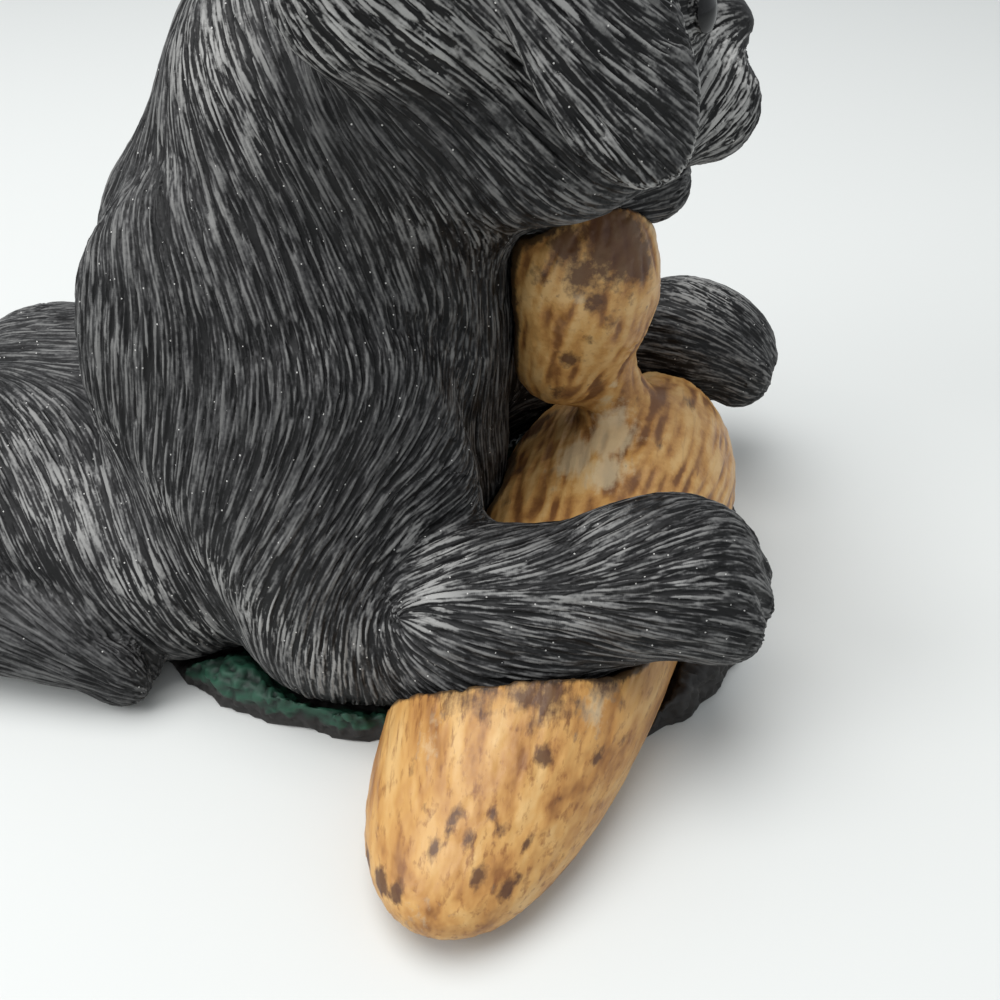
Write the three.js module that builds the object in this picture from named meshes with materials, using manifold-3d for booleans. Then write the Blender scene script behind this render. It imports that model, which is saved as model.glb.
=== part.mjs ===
import * as THREE from 'three';
import { mergeVertices } from 'three/addons/utils/BufferGeometryUtils.js';
import Module from 'manifold-3d';

// All lengths are millimetres. +X is the way the puppy faces, +Y its left side, +Z up.
// The origin lies on the table, under the mossy ground.

const GAP = 0.42;                 // air left between two touching pieces
const GROUND_GAP = 0.8;           // the same round the coarse moss
const PUPPY_CELL = 1.7;           // grid step used to find the puppy's surface
const DECOY_CELL = 1.7;
const GROUND_CELL = 1.7;
const PUPPY_FACES = 6200;
const DECOY_FACES = 1750;
const GROUND_FACES = 1600;

const HEAD_CENTRE = [18, -2, 103];
const HEAD_TURN = 27;             // degrees, towards the puppy's left
const MUZZLE_DROP = 17;           // degrees below level

const GROUND_CENTRE = [11, -5];
const GROUND_HALF_LENGTH = 59;
const GROUND_HALF_WIDTH = 47;
const GROUND_HEIGHT = 8;
const GROUND_FLOOR = 3;           // thickness that runs on under the puppy and the decoy
const GROUND_SQUARENESS = 2.6;
const GROUND_EDGE_ROUNDING = 3;
const MOSS_LUMP = 0.7;

const TABLE_WIDTH = 400;          // the block below the table that trims the pieces flat
const TABLE_DEPTH = 60;
const BELOW_TABLE = 2;            // how far the ground's form runs on below, to be trimmed

const DECOY_AXIS = [19, 118, 0];  // from the tail to the breast

const clamp = (t, margin) => Math.min(1 - margin, Math.max(margin, t));
const radians = (degrees) => degrees * Math.PI / 180;
const dot = (a, b) => a[0] * b[0] + a[1] * b[1] + a[2] * b[2];
const cross = (a, b) => [
  a[1] * b[2] - a[2] * b[1],
  a[2] * b[0] - a[0] * b[2],
  a[0] * b[1] - a[1] * b[0],
];
const unit = (a) => {
  const size = Math.hypot(a[0], a[1], a[2]);
  return [a[0] / size, a[1] / size, a[2] / size];
};

// three unit axes: forward, left and up
const axesAlong = (forward, up) => {
  const f = unit(forward);
  const l = unit(cross(up, f));
  return [f, l, cross(f, l)];
};
// the same from a direction along the form and one across it
const axesAcross = (along, across) => {
  const a = unit(along);
  const out = unit(cross(a, unit(across)));
  return [a, cross(out, a), out];
};
const LEVEL = [[1, 0, 0], [0, 1, 0], [0, 0, 1]];
const SKY = [0, 0, 1];

const place = (centre, axes, x, y, z) => [0, 1, 2].map(
  (i) => centre[i] + axes[0][i] * x + axes[1][i] * y + axes[2][i] * z,
);

const turn = radians(HEAD_TURN);
const drop = radians(MUZZLE_DROP);
const HEAD_AXES = axesAlong([Math.cos(turn), Math.sin(turn), 0], SKY);
const MUZZLE_AXES = axesAlong(
  [Math.cos(turn) * Math.cos(drop), Math.sin(turn) * Math.cos(drop), -Math.sin(drop)],
  SKY,
);
const onHead = (x, y, z) => place(HEAD_CENTRE, HEAD_AXES, x, y, z);
const onMuzzle = (x, y, z) => place(HEAD_CENTRE, MUZZLE_AXES, x, y, z);

// An egg is an ellipsoid, a limb is two balls joined by a cone.
// blend is the width over which a form melts into the ones before it.
const egg = (centre, radii, blend, axes = LEVEL) => ({ egg: true, centre, radii, blend, axes });
const limb = (from, to, fromRadius, toRadius, blend) => {
  const span = [to[0] - from[0], to[1] - from[1], to[2] - from[2]];
  return { egg: false, from, span, fromRadius, toRadius, blend, length2: dot(span, span) };
};

function eggDistance(form, p) {
  const q = [p[0] - form.centre[0], p[1] - form.centre[1], p[2] - form.centre[2]];
  let outer = 0;
  let inner = 0;
  for (let i = 0; i < 3; i += 1) {
    const a = dot(q, form.axes[i]) / form.radii[i];
    const b = a / form.radii[i];
    outer += a * a;
    inner += b * b;
  }
  outer = Math.sqrt(outer) + 1e-9;
  inner = Math.sqrt(inner) + 1e-9;
  return outer * (outer - 1) / inner;
}

function limbDistance(form, p) {
  const { span, length2, fromRadius, toRadius } = form;
  const slope = fromRadius - toRadius;
  const side2 = length2 - slope * slope;
  const q = [p[0] - form.from[0], p[1] - form.from[1], p[2] - form.from[2]];
  const y = dot(q, span);
  const z = y - length2;
  let x2 = 0;
  for (let i = 0; i < 3; i += 1) x2 += (q[i] * length2 - span[i] * y) ** 2;
  const y2 = y * y * length2;
  const z2 = z * z * length2;
  const k = Math.sign(slope) * slope * slope * x2;
  if (Math.sign(z) * side2 * z2 > k) return Math.sqrt(x2 + z2) / length2 - toRadius;
  if (Math.sign(y) * side2 * y2 < k) return Math.sqrt(x2 + y2) / length2 - fromRadius;
  return (Math.sqrt(x2 * side2 / length2) + y * slope) / length2 - fromRadius;
}

const melt = (a, b, width) => {
  const h = Math.max(width - Math.abs(a - b), 0) / width;
  return Math.min(a, b) - h * h * width * 0.25;
};

function formsDistance(forms, p) {
  let distance = 1e9;
  for (const form of forms) {
    const d = form.egg ? eggDistance(form, p) : limbDistance(form, p);
    distance = distance > 1e8 ? d : melt(distance, d, form.blend);
  }
  return distance;
}

// The puppy: trunk, neck, shoulders, legs, tail, head and ears

const TOES = [-1.5, -0.5, 0.5, 1.5];
const EAR_STANDS_OFF = 1.3;
const SIDES = [-1, 1];            // -1 is the puppy's right side
const LEFT_PAW = axesAlong([1, 0.1, -0.35], SKY);

// ribcage, forechest, brisket, rump and neck
const trunkForms = () => [
  egg([-38, -2, 22], [44, 31, 22], 10),
  egg([-2, 0, 46], [24, 26, 36], 12),
  egg([0, -2, 24], [21, 30, 20], 8),
  egg([-74, -3, 21], [28, 30, 18.5], 12),
  egg([-16, 0, 64], [34, 27, 30], 14),
  egg([-3, -1, 91], [30, 25, 28], 12),
];

// shoulder blade, the upper arm that overlaps the flank, and the elbow
const shoulderForms = (s) => [
  egg([-13, s * 25, 42], [46, 31, 15], 5, axesAcross([0.457, s * 0.14, -0.88], [0.89, 0, 0.457])),
  egg([-13, s * 31.5, 34], [34, 21, 15.5], 2.5, axesAcross([0.7, s * 0.3, -0.65], [0.68, 0, 0.73])),
  limb([-8, s * 24, 46], [-3, s * 35.5, 16], 17, 15, 10),
];

// thigh, hind foot and its toes
const hindLegForms = (s) => [
  limb([-76, s * 17 - 2, 20.5], [-34, s * 30, 16.5], 21, 17, 8),
  limb([-84, s * 40, 13], [-46, s * 43, 10], 11.5, 10, 2),
  ...TOES.map((toe) => egg([-40, s * 43 + toe * 4.6, 8], [7, 3, 7.5], 1.5)),
];

// laid across the decoy
const rightForelegForms = () => [
  limb([-3, -36, 15], [24, -40.5, 19], 15, 16, 4),
  limb([24, -40.5, 19], [42, -40.5, 29], 16, 12.2, 5),
  egg([52, -41, 34.5], [14, 14, 12], 6, axesAlong([1, 0, 0.15], SKY)),
  egg([58, -40.5, 33], [8, 12.5, 10.5], 4),
  ...TOES.map((toe) => egg([62.4 - 1.5 * Math.abs(toe), -40.5 + toe * 6.1, 32], [7.2, 3.9, 7], 1.5)),
];

// its paw is tipped down over the decoy's breast
const leftForelegForms = () => [
  limb([-3, 36, 15], [40, 42, 28], 15, 12, 5),
  egg([57, 42, 31], [18, 14, 12.5], 5, LEFT_PAW),
  ...TOES.map(
    (toe) => egg([68.5 - 1.3 * Math.abs(toe), 42.7 + toe * 6.2, 27], [7, 3.9, 7.2], 1.5, LEFT_PAW),
  ),
];

// curled round to the left hind foot
const tailForms = () => [
  limb([-92, 2, 15], [-107, 14, 9.5], 10, 8, 8),
  limb([-107, 14, 9.5], [-103, 34, 8], 8, 7, 4),
  limb([-103, 34, 8], [-88, 53, 6.5], 7, 4.5, 4),
];

// cheek, side of the muzzle and upper lip
const cheekForms = (s) => [
  egg(onHead(6, s * 16, -10), [18, 12, 14], 5, HEAD_AXES),
  limb(onMuzzle(18, s * 7, -5), onMuzzle(26, s * 7, -4), 13, 11, 4),
  egg(onMuzzle(34.5, s * 7, -1.5), [11.5, 9, 9.5], 3, MUZZLE_AXES),
];

// skull, nose, cheeks, bridge of the nose and lower jaw
const headForms = () => [
  egg(HEAD_CENTRE, [31, 27, 27], 10, HEAD_AXES),
  egg(onMuzzle(36.5, 0, 10), [7, 6.2, 4.8], 2.5, MUZZLE_AXES),
  ...SIDES.flatMap(cheekForms),
  limb(onMuzzle(14, 0, 3), onMuzzle(34, 0, 4), 15, 7.5, 7),
  limb(onMuzzle(8, 0, -18), onMuzzle(36, 0, -16.5), 11, 7.2, 2.5),
];

// a flap that hangs forward
function earFlap(s) {
  const root = onHead(-1.5, s * 24.5, 21);
  const tip = onHead(14.2, s * 34, -11.5);
  const along = unit([tip[0] - root[0], tip[1] - root[1], tip[2] - root[2]]);
  const facing = unit(place([0, 0, 0], HEAD_AXES, 0.1, s, 0.3));
  const across = unit(cross(facing, along));
  const axes = [along, across, cross(along, across)];
  const middle = [0, 1, 2].map((i) => (root[i] + tip[i]) / 2);
  return egg(place(middle, axes, 0, 0, EAR_STANDS_OFF), [19.8, 11.5, 4.5], 1.2, axes);
}

// the eye in its lids, then the ear, its root and the thick fur behind it
const eyeAndEarForms = (s) => [
  egg(onMuzzle(22, s * 12.5, 11), [7, 6, 6], 3, MUZZLE_AXES),
  earFlap(s),
  limb(onHead(-8, s * 19, 20), onHead(7, s * 23, 17), 6, 5.5, 7),
  egg(onHead(-14, s * 19, 11), [20, 9.5, 13], 5, HEAD_AXES),
];

const PUPPY = [
  ...trunkForms(),
  ...SIDES.flatMap((s) => [...shoulderForms(s), ...hindLegForms(s)]),
  ...rightForelegForms(),
  ...leftForelegForms(),
  ...tailForms(),
  ...headForms(),
  ...SIDES.flatMap(eyeAndEarForms),
];

// The decoy duck

const DECOY_AXES = axesAlong(DECOY_AXIS, SKY);
const BILL_AXES = axesAlong([0.15, 1, -0.12], SKY);
const DECOY = [
  // tail half, back and breast
  egg([27, -60, 7], [30, 17.5, 11], 8, DECOY_AXES),
  egg([34, -32, 11], [42, 22, 16], 10, DECOY_AXES),
  egg([41, 3, 13], [42, 22.5, 18.5], 10, DECOY_AXES),
  egg([48, 2, 19], [30, 16.5, 19], 8, DECOY_AXES),
  // slender neck, low back of the head, round head
  limb([42, 5, 36], [35.5, 4, 50], 6.5, 6.8, 5),
  egg([31.5, 3, 49.2], [10, 12, 11.5], 4),
  egg([34.5, 3, 62], [13.5, 14.5, 18], 4),
  // flat bill, pointing to the puppy's left
  egg([38, 21, 55.5], [13, 6.5, 3.8], 4, BILL_AXES),
];

function groundOutline(p) {
  const a = Math.abs((p[0] - GROUND_CENTRE[0]) / GROUND_HALF_LENGTH) ** GROUND_SQUARENESS;
  const b = Math.abs((p[1] - GROUND_CENTRE[1]) / GROUND_HALF_WIDTH) ** GROUND_SQUARENESS;
  return ((a + b) ** (1 / GROUND_SQUARENESS) - 1) * GROUND_HALF_WIDTH;
}

const groundFloor = (p) => Math.max(groundOutline(p), p[2] - GROUND_FLOOR);

const puppyShape = (p) => Math.max(formsDistance(PUPPY, p), GAP - groundFloor(p));

const decoyShape = (p) => Math.max(
  formsDistance(DECOY, p),
  GAP - formsDistance(PUPPY, p),
  GAP - groundFloor(p),
);

function groundShape(p) {
  const lumps = MOSS_LUMP * Math.sin(p[0] * 0.43 + 1) * Math.sin(p[1] * 0.51);
  const slab = -melt(-groundOutline(p), GROUND_HEIGHT - p[2], GROUND_EDGE_ROUNDING) + lumps;
  const above = Math.min(puppyShape(p), decoyShape(p));
  return Math.max(slab, GROUND_GAP - above, -BELOW_TABLE - p[2]);
}

// A closed triangle mesh where the shape's value is zero.
// Each grid cell is split into six tetrahedra round its long diagonal.

const faceNormal = (p, q, r) => cross(
  [q[0] - p[0], q[1] - p[1], q[2] - p[2]],
  [r[0] - p[0], r[1] - p[1], r[2] - p[2]],
);

const NEAREST_TO_CORNER = 0.06;   // least share of an edge between a grid corner and the surface
const CORNERS = [0, 1, 2, 3, 4, 5, 6, 7].map((c) => [c & 1, (c >> 1) & 1, (c >> 2) & 1]);
const TETRAHEDRA = [[1, 3], [3, 2], [2, 6], [6, 4], [4, 5], [5, 1]].map(([a, b]) => [0, a, b, 7]);

function surface(shape, low, high, cell) {
  const size = [0, 1, 2].map((i) => Math.ceil((high[i] - low[i]) / cell) + 1);
  const [nx, ny, nz] = size;
  const step = [1, nx, nx * ny];
  const values = new Float64Array(nx * ny * nz);
  const at = (i, j, k) => [low[0] + i * cell, low[1] + j * cell, low[2] + k * cell];
  for (let k = 0, n = 0; k < nz; k += 1) {
    for (let j = 0; j < ny; j += 1) {
      for (let i = 0; i < nx; i += 1, n += 1) values[n] = shape(at(i, j, k));
    }
  }
  const points = [];
  const faces = [];
  const known = new Map();
  const corner = (n) => at(n % nx, Math.floor(n / nx) % ny, Math.floor(n / (nx * ny)));
  const crossing = (a, b) => {
    const [m, n] = a < b ? [a, b] : [b, a];
    const key = m * 8 + CORNERS.findIndex((c) => c[0] + c[1] * step[1] + c[2] * step[2] === n - m);
    if (!known.has(key)) {
      const t = clamp(values[m] / (values[m] - values[n]), NEAREST_TO_CORNER);
      const p = corner(m);
      const q = corner(n);
      known.set(key, points.length);
      points.push([0, 1, 2].map((i) => p[i] + (q[i] - p[i]) * t));
    }
    return known.get(key);
  };
  const face = (a, b, c, outside) => {
    const p = points[a];
    const normal = faceNormal(p, points[b], points[c]);
    const away = dot(normal, [outside[0] - p[0], outside[1] - p[1], outside[2] - p[2]]);
    faces.push(away > 0 ? [a, b, c] : [a, c, b]);
  };
  for (let k = 0; k < nz - 1; k += 1) {
    for (let j = 0; j < ny - 1; j += 1) {
      for (let i = 0; i < nx - 1; i += 1) {
        const first = i + j * step[1] + k * step[2];
        const cube = CORNERS.map((c) => first + c[0] + c[1] * step[1] + c[2] * step[2]);
        const solid = cube.filter((n) => values[n] < 0).length;
        if (solid > 0 && solid < 8) {
          for (const four of TETRAHEDRA) {
            const inside = four.map((c) => cube[c]).filter((n) => values[n] < 0);
            const outside = four.map((c) => cube[c]).filter((n) => values[n] >= 0);
            if (inside.length === 1) {
              const [a, b, c] = outside.map((n) => crossing(inside[0], n));
              face(a, b, c, corner(outside[0]));
            } else if (inside.length === 3) {
              const [a, b, c] = inside.map((n) => crossing(outside[0], n));
              face(a, b, c, corner(outside[0]));
            } else if (inside.length === 2) {
              const a = crossing(inside[0], outside[0]);
              const b = crossing(inside[0], outside[1]);
              const c = crossing(inside[1], outside[1]);
              const d = crossing(inside[1], outside[0]);
              face(a, b, c, corner(outside[1]));
              face(a, c, d, corner(outside[0]));
            }
          }
        }
      }
    }
  }
  return { points, faces };
}

// Thinning by edge collapse: each corner carries the sum of its faces' squared
// distances, and the edge whose loss moves the surface least goes first.

const PULL_TO_MIDDLE = 0.003;     // keeps the new corner near its edge where the surface is flat
const LENGTH_COST = 1e-5;         // long edges go a little later
const LEAST_TURN = 0.35;          // cosine of the most that a face may turn
const LEAST_AREA = 0.06;          // twice a face's area over its longest side squared

class Queue {
  constructor() {
    this.items = [];
  }

  push(item) {
    const { items } = this;
    let n = items.length;
    items.push(item);
    while (n > 0) {
      const parent = (n - 1) >> 1;
      if (items[parent].cost <= item.cost) break;
      items[n] = items[parent];
      n = parent;
    }
    items[n] = item;
  }

  pop() {
    const { items } = this;
    const top = items[0];
    const last = items.pop();
    if (items.length > 0) {
      let n = 0;
      for (;;) {
        let child = 2 * n + 1;
        if (child >= items.length) break;
        if (child + 1 < items.length && items[child + 1].cost < items[child].cost) child += 1;
        if (items[child].cost >= last.cost) break;
        items[n] = items[child];
        n = child;
      }
      items[n] = last;
    }
    return top;
  }
}

function thin(mesh, target) {
  const { points, faces } = mesh;
  const around = points.map(() => new Set());
  const errors = points.map(() => new Float64Array(10));
  const stamp = new Int32Array(points.length);
  const alive = new Uint8Array(faces.length).fill(1);
  faces.forEach((f, n) => {
    const normal = faceNormal(points[f[0]], points[f[1]], points[f[2]]);
    const area = Math.hypot(normal[0], normal[1], normal[2]);
    if (area > 0) {
      const [a, b, c] = normal.map((v) => v / area);
      const d = -(a * points[f[0]][0] + b * points[f[0]][1] + c * points[f[0]][2]);
      const q = [a * a, a * b, a * c, a * d, b * b, b * c, b * d, c * c, c * d, d * d];
      for (const v of f) {
        for (let i = 0; i < 10; i += 1) errors[v][i] += q[i] * area;
      }
    }
    for (const v of f) around[v].add(n);
  });
  const errorAt = (q, p) => {
    const [x, y, z] = p;
    return q[0] * x * x + 2 * q[1] * x * y + 2 * q[2] * x * z + 2 * q[3] * x
      + q[4] * y * y + 2 * q[5] * y * z + 2 * q[6] * y
      + q[7] * z * z + 2 * q[8] * z + q[9];
  };
  const best = (q, p, r) => {
    const middle = [0, 1, 2].map((i) => (p[i] + r[i]) / 2);
    const length2 = (p[0] - r[0]) ** 2 + (p[1] - r[1]) ** 2 + (p[2] - r[2]) ** 2;
    const m = q[0] + q[4] + q[7];
    const pull = PULL_TO_MIDDLE * m;
    const [a, b, c] = [[q[0] + pull, q[1], q[2]], [q[1], q[4] + pull, q[5]], [q[2], q[5], q[7] + pull]];
    const right = [-q[3] + pull * middle[0], -q[6] + pull * middle[1], -q[8] + pull * middle[2]];
    const whole = dot(a, cross(b, c));
    let p0 = middle;
    if (Math.abs(whole) > 1e-12) {
      const bc = cross(b, c);
      const ca = cross(c, a);
      const ab = cross(a, b);
      p0 = [0, 1, 2].map((i) => (bc[i] * right[0] + ca[i] * right[1] + ab[i] * right[2]) / whole);
      const moved = (p0[0] - middle[0]) ** 2 + (p0[1] - middle[1]) ** 2 + (p0[2] - middle[2]) ** 2;
      if (moved > length2 * 2) p0 = middle;
    }
    return { point: p0, cost: Math.max(0, errorAt(q, p0)) + LENGTH_COST * length2 };
  };
  const queue = new Queue();
  const offer = (a, b) => {
    const q = errors[a].map((v, i) => v + errors[b][i]);
    const { point, cost } = best(q, points[a], points[b]);
    queue.push({ cost, a, b, point, seenA: stamp[a], seenB: stamp[b] });
  };
  const neighbours = (v) => {
    const found = new Set();
    for (const n of around[v]) for (const w of faces[n]) if (w !== v) found.add(w);
    return found;
  };
  points.forEach((p, v) => {
    for (const w of neighbours(v)) if (v < w) offer(v, w);
  });
  let left = faces.length;
  while (left > target && queue.items.length > 0) {
    const { a, b, point, seenA, seenB } = queue.pop();
    if (seenA === stamp[a] && seenB === stamp[b] && around[a].size > 0 && around[b].size > 0) {
      const nearB = neighbours(b);
      const shared = [...neighbours(a)].filter((w) => nearB.has(w));
      const gone = [...around[a]].filter((n) => around[b].has(n));
      const turned = (v) => [...around[v]].some((n) => {
        if (gone.includes(n)) return false;
        const f = faces[n];
        const before = faceNormal(points[f[0]], points[f[1]], points[f[2]]);
        const [p, q, r] = f.map((w) => (w === v ? point : points[w]));
        const after = faceNormal(p, q, r);
        const sizes = Math.hypot(...before) * Math.hypot(...after);
        const long = Math.max(
          (p[0] - q[0]) ** 2 + (p[1] - q[1]) ** 2 + (p[2] - q[2]) ** 2,
          (q[0] - r[0]) ** 2 + (q[1] - r[1]) ** 2 + (q[2] - r[2]) ** 2,
          (r[0] - p[0]) ** 2 + (r[1] - p[1]) ** 2 + (r[2] - p[2]) ** 2,
        );
        return dot(before, after) < LEAST_TURN * sizes || Math.hypot(...after) < LEAST_AREA * long;
      });
      if (gone.length === 2 && shared.length === 2 && !turned(a) && !turned(b)) {
        for (const n of gone) {
          alive[n] = 0;
          for (const w of faces[n]) around[w].delete(n);
          left -= 1;
        }
        for (const n of around[b]) {
          faces[n] = faces[n].map((w) => (w === b ? a : w));
          around[a].add(n);
        }
        around[b].clear();
        points[a] = point;
        for (let i = 0; i < 10; i += 1) errors[a][i] += errors[b][i];
        stamp[a] += 1;
        stamp[b] += 1;
        for (const w of neighbours(a)) offer(a, w);
      }
    }
  }
  return { points, faces: faces.filter((f, n) => alive[n] === 1) };
}

// Joins and cuts

const wasm = await Module();
wasm.setup();
const { Manifold, Mesh } = wasm;

function solidFrom(points, faces) {
  const used = new Map();
  const corners = [];
  for (const v of faces.flat()) {
    if (!used.has(v)) {
      used.set(v, used.size);
      corners.push(...points[v]);
    }
  }
  return new Manifold(new Mesh({
    numProp: 3,
    vertProperties: Float32Array.from(corners),
    triVerts: Uint32Array.from(faces.flat(), (v) => used.get(v)),
  }));
}

function solidOfGeometry(geometry) {
  const bare = geometry.clone();
  bare.deleteAttribute('uv');
  bare.deleteAttribute('normal');
  const welded = mergeVertices(bare, 1e-4);
  const { array } = welded.attributes.position;
  const index = welded.index.array;
  const points = [];
  const faces = [];
  for (let i = 0; i < array.length; i += 3) points.push([array[i], array[i + 1], array[i + 2]]);
  for (let i = 0; i < index.length; i += 3) faces.push([index[i], index[i + 1], index[i + 2]]);
  return solidFrom(points, faces);
}

function geometryOf(solid) {
  const mesh = solid.getMesh();
  const positions = [];
  for (let n = 0; n < mesh.numVert; n += 1) {
    for (let i = 0; i < 3; i += 1) positions.push(mesh.vertProperties[n * mesh.numProp + i]);
  }
  const geometry = new THREE.BufferGeometry();
  geometry.setAttribute('position', new THREE.Float32BufferAttribute(positions, 3));
  geometry.setIndex([...mesh.triVerts]);
  geometry.computeVertexNormals();
  return geometry;
}

const belowTable = new THREE.BoxGeometry(TABLE_WIDTH, TABLE_WIDTH, TABLE_DEPTH);
belowTable.translate(0, 0, -TABLE_DEPTH / 2);
const table = solidOfGeometry(belowTable);

function piece(name, shape, low, high, cell, faceCount, colour, roughness) {
  const found = surface(shape, low, high, cell);
  const reduced = thin(found, faceCount);
  const solid = solidFrom(reduced.points, reduced.faces).subtract(table);
  const material = new THREE.MeshStandardMaterial({ color: colour, roughness, metalness: 0 });
  const mesh = new THREE.Mesh(geometryOf(solid), material);
  mesh.name = name;
  return mesh;
}

const group = new THREE.Group();
group.name = 'puppy_with_decoy';
group.add(piece(
  'puppy',
  puppyShape,
  [-126, -66, -8],
  [82, 66, 138],
  PUPPY_CELL,
  PUPPY_FACES,
  0x2b2b2d,
  0.55,
));
group.add(piece(
  'duck_decoy',
  decoyShape,
  [-4, -98, -14],
  [80, 56, 82],
  DECOY_CELL,
  DECOY_FACES,
  0xb98245,
  0.5,
));
group.add(piece(
  'mossy_ground',
  groundShape,
  [-56, -62, -4],
  [78, 52, 14],
  GROUND_CELL,
  GROUND_FACES,
  0x1c4a36,
  0.85,
));

export default group;
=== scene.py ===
import math

import bmesh
import bpy
import numpy as np
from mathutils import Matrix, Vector


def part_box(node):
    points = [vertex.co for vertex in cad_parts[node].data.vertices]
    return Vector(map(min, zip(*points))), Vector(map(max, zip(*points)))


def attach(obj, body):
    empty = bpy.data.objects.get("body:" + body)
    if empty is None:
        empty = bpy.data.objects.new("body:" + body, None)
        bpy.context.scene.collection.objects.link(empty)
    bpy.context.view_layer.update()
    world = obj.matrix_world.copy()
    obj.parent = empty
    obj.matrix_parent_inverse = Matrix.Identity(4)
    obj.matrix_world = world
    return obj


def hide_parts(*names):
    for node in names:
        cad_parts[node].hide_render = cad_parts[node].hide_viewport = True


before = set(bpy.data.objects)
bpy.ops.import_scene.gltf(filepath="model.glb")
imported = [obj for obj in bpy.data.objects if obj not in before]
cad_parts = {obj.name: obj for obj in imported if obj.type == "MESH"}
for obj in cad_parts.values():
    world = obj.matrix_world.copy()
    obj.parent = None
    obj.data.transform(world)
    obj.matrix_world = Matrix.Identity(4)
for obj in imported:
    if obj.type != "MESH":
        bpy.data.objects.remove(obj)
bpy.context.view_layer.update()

# Forms are worked out in millimetres in the row frame and turned into metres for the meshes.
MM = 0.001

PUPPY_VOXEL = 0.8
NEAR_LEVELS = 2            # subdivision where the picture shows the puppy
FAR_LEVELS = 1
DECOY_VOXEL = 0.95
GROUND_VOXEL = 0.85
NEAR_FACES = 132_000  # triangles in each piece of the near side
FAR_FACES = 80_000
DECOY_FACES = 95_000
GROUND_FACES = 50_000

GROOVE_DEPTH = 0.5
STRAND_CELL = 0.44                         # half the spacing of two strands
STRAND_HALF = 5.0
WISP_CELL = 1.0                            # strands that clump together
WISP_HALF = 5.0
HAIR_CELL = 0.33                           # the finer lines that only the paint shows
HAIR_HALF = 3.0

# The picture is 1000 pixels square. The camera stands at the puppy's right.
PICTURE = 1000
FOCAL_PIXELS = 1100
CAMERA_PLACE = np.array([44.44, -172.5, 146.0])
CAMERA_DOWN = math.radians(37)
CAMERA_TURN = math.radians(8)

HEAD_CENTRE = np.array([18.0, -2.0, 103.0])
HEAD_TURN = math.radians(27)
MUZZLE_DROP = math.radians(17)
DECOY_AXIS = (19, 118, 0)


def unit(v):
    v = np.asarray(v, float)
    return v / np.linalg.norm(v, axis=-1, keepdims=True)


def axes_along(forward, up=(0, 0, 1)):
    f = unit(forward)
    left = unit(np.cross(up, f))
    return np.stack([f, left, np.cross(f, left)], axis=1)


def axes_across(along, across):
    a = unit(along)
    out = unit(np.cross(a, unit(across)))
    return np.stack([a, np.cross(out, a), out], axis=1)


HEAD = axes_along((math.cos(HEAD_TURN), math.sin(HEAD_TURN), 0))
MUZZLE = axes_along(
    (
        math.cos(HEAD_TURN) * math.cos(MUZZLE_DROP),
        math.sin(HEAD_TURN) * math.cos(MUZZLE_DROP),
        -math.sin(MUZZLE_DROP),
    )
)


GRAIN = axes_along(DECOY_AXIS)


def on_head(x, y, z):
    return HEAD_CENTRE + HEAD @ np.array([x, y, z], float)


def on_muzzle(x, y, z):
    return HEAD_CENTRE + MUZZLE @ np.array([x, y, z], float)


# The smooth forms, melted into each other one after the other, as in the solid.
def egg(centre, radii, blend, axes=None):
    return {
        "centre": np.array(centre, float),
        "radii": np.array(radii, float),
        "axes": axes,
        "blend": blend,
        "reach": max(radii),
    }


def limb(a, b, ra, rb, blend):
    a, b = np.array(a, float), np.array(b, float)
    return {
        "a": a,
        "b": b,
        "ra": ra,
        "rb": rb,
        "centre": (a + b) / 2,
        "blend": blend,
        "reach": np.linalg.norm(b - a) / 2 + max(ra, rb),
    }


def egg_distance(p, form):
    q = p - form["centre"]
    if form["axes"] is not None:
        q = q @ form["axes"]
    a = q / form["radii"]
    b = a / form["radii"]
    k0 = np.sqrt((a * a).sum(-1)) + 1e-9
    k1 = np.sqrt((b * b).sum(-1)) + 1e-9
    return k0 * (k0 - 1) / k1


def limb_distance(p, form):
    ba = form["b"] - form["a"]
    l2 = ba @ ba
    rr = form["ra"] - form["rb"]
    a2 = l2 - rr * rr
    pa = p - form["a"]
    y = pa @ ba
    z = y - l2
    w = pa * l2 - y[:, None] * ba
    x2 = (w * w).sum(-1)
    y2 = y * y * l2
    z2 = z * z * l2
    k = np.sign(rr) * rr * rr * x2
    out = (np.sqrt(np.maximum(x2 * a2 / l2, 0)) + y * rr) / l2 - form["ra"]
    near_a = np.sign(y) * a2 * y2 < k
    near_b = np.sign(z) * a2 * z2 > k
    out = np.where(near_a, np.sqrt(x2 + y2) / l2 - form["ra"], out)
    return np.where(near_b, np.sqrt(x2 + z2) / l2 - form["rb"], out)


BLOCK = 150_000                            # points worked out at a time, to save memory


def in_blocks(work, *arrays):
    starts = range(0, len(arrays[0]), BLOCK)
    return np.concatenate([work(*(a[i : i + BLOCK] for a in arrays)) for i in starts])


FELT_BEYOND = 17.0                         # how far past its own reach a form still counts
FAR_OFF = 40.0                             # the distance where no form is near


def melt(p, forms):
    """Distance to the melted forms, true near their surface."""
    if len(p) > BLOCK:
        return in_blocks(lambda q: melt(q, forms), p)
    d = np.full(len(p), FAR_OFF)
    for form in forms:
        q = p - form["centre"]
        near = np.nonzero((q * q).sum(-1) < (form["reach"] + FELT_BEYOND) ** 2)[0]
        if not len(near):
            continue
        there = p[near]
        e = egg_distance(there, form) if "radii" in form else limb_distance(there, form)
        have = d[near]
        h = np.maximum(form["blend"] - np.abs(have - e), 0) / form["blend"]
        d[near] = np.minimum(have, e) - h * h * form["blend"] / 4
    return d


EAR_STANDS_OFF = 1.3


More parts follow.
